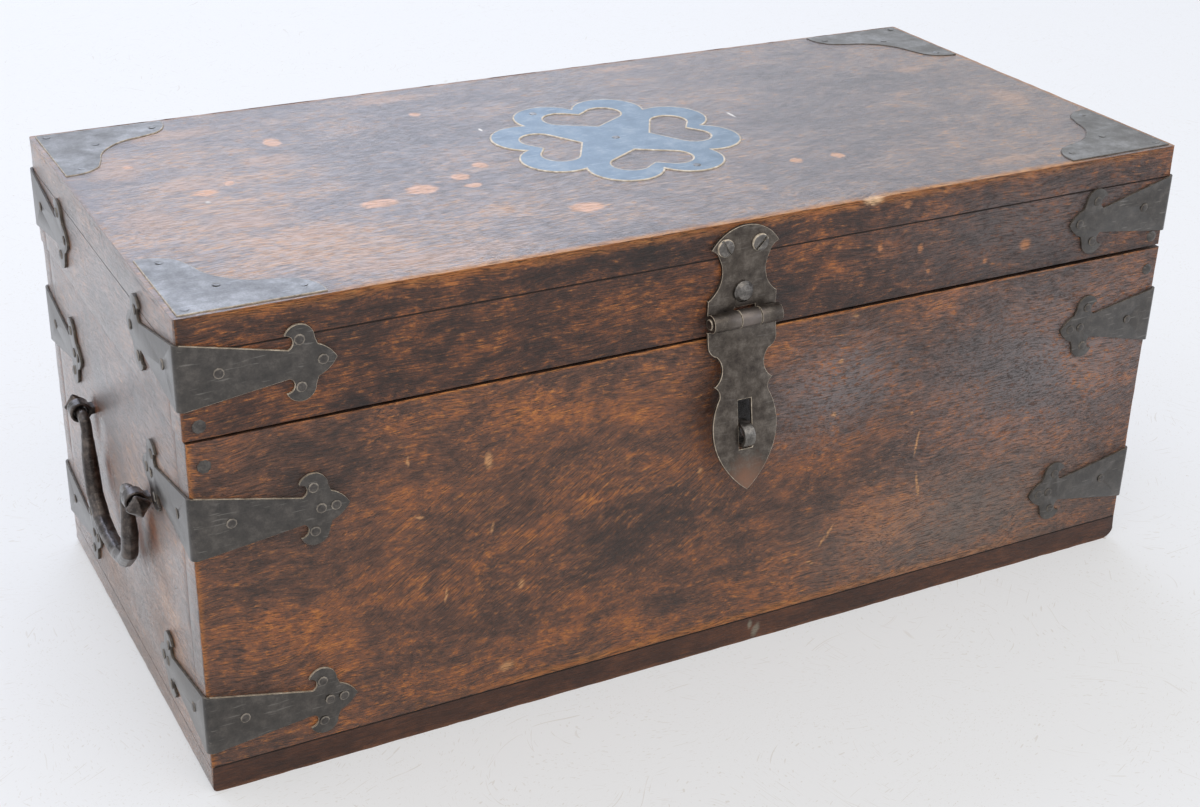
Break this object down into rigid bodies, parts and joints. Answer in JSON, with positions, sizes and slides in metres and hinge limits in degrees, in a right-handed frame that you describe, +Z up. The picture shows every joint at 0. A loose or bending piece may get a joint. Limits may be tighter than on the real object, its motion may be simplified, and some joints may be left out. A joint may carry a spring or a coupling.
{
  "type": "wooden chest",
  "caption": "Small wooden storage chest with a hinged lid, iron corner straps, a pierced rosette, a slotted hasp over a staple and a drop handle at each end",
  "frame": {"origin": "middle of the underside, on the plane the chest stands on", "axes": "X along the length to the right, the front with the hasp faces -Y, +Z up"},
  "size_m": [0.5266, 0.2597, 0.2233],
  "materials": {
    "wood": "old dark brown stained varnish, worn through to orange brown at the edges",
    "strap_iron": "dark forged sheet iron with dull edges",
    "plate_iron": "blue grey sheet iron, worn",
    "rosette_paint": "worn light blue grey sheet metal",
    "nail_iron": "forged, dark",
    "screw_steel": "dull, slotted heads",
    "handle_iron": "hand forged, polished by use",
    "hasp_steel": "worn steel, rusty at the tip"
  },
  "bodies": {
    "chest_body": {"back_board": "wood", "base_board": "wood", "base_board_spikes": "nail_iron", "body_board_spikes": "nail_iron", "body_lower_strap_back_left": "strap_iron", "body_lower_strap_back_right": "strap_iron", "body_lower_strap_front_left": "strap_iron", "body_lower_strap_front_right": "strap_iron", "body_strap_nails": "nail_iron", "body_upper_strap_back_left": "strap_iron", "body_upper_strap_back_right": "strap_iron", "body_upper_strap_front_left": "strap_iron", "body_upper_strap_front_right": "strap_iron", "front_board": "wood", "hasp_staple": "hasp_steel", "hinge_body_leaf_left": "hasp_steel", "hinge_body_leaf_right": "hasp_steel", "hinge_body_screws": "screw_steel", "left_end_board": "wood", "left_handle_eye_back": "handle_iron", "left_handle_eye_front": "handle_iron", "right_end_board": "wood", "right_handle_eye_back": "handle_iron", "right_handle_eye_front": "handle_iron"},
    "lid": {"lid_back_rail": "wood", "lid_board_spikes": "nail_iron", "lid_corner_plate_back_left": "plate_iron", "lid_corner_plate_back_right": "plate_iron", "lid_corner_plate_front_left": "plate_iron", "lid_corner_plate_front_right": "plate_iron", "lid_front_rail": "wood", "lid_left_rail": "wood", "lid_plate_tacks": "nail_iron", "lid_right_rail": "wood", "lid_rosette": "rosette_paint", "lid_strap_back_left": "strap_iron", "lid_strap_back_right": "strap_iron", "lid_strap_front_left": "strap_iron", "lid_strap_front_right": "strap_iron", "lid_strap_nails": "nail_iron", "lid_top_board": "wood", "hasp_upper_plate": "hasp_steel", "hasp_plate_screws": "screw_steel", "hasp_plate_rivet": "strap_iron", "hasp_pin": "hasp_steel", "hinge_lid_leaf_left": "hasp_steel", "hinge_lid_leaf_right": "hasp_steel", "hinge_lid_screws": "screw_steel", "hinge_pin_left": "hasp_steel", "hinge_pin_right": "hasp_steel"},
    "hasp": {"hasp_plate": "hasp_steel"},
    "left_handle": {"left_bail": "handle_iron"},
    "right_handle": {"right_bail": "handle_iron"}
  },
  "joints": [
    {"name": "lid_hinge", "type": "hinge", "parent": "chest_body", "child": "lid", "pos_m": [0, 0.12205, 0.1692], "axis": [-1, 0, 0], "range_deg": [0, 110]},
    {"name": "hasp_hinge", "type": "hinge", "parent": "lid", "child": "hasp", "pos_m": [0.0018, -0.12205, 0.1777], "axis": [-1, 0, 0], "range_deg": [-8, 175]},
    {"name": "left_handle_swing", "type": "hinge", "parent": "chest_body", "child": "left_handle", "pos_m": [-0.2575, -0.005, 0.1125], "axis": [0, 1, 0], "range_deg": [-2, 175]},
    {"name": "right_handle_swing", "type": "hinge", "parent": "chest_body", "child": "right_handle", "pos_m": [0.2575, -0.005, 0.1125], "axis": [0, -1, 0], "range_deg": [-2, 175]}
  ]
}
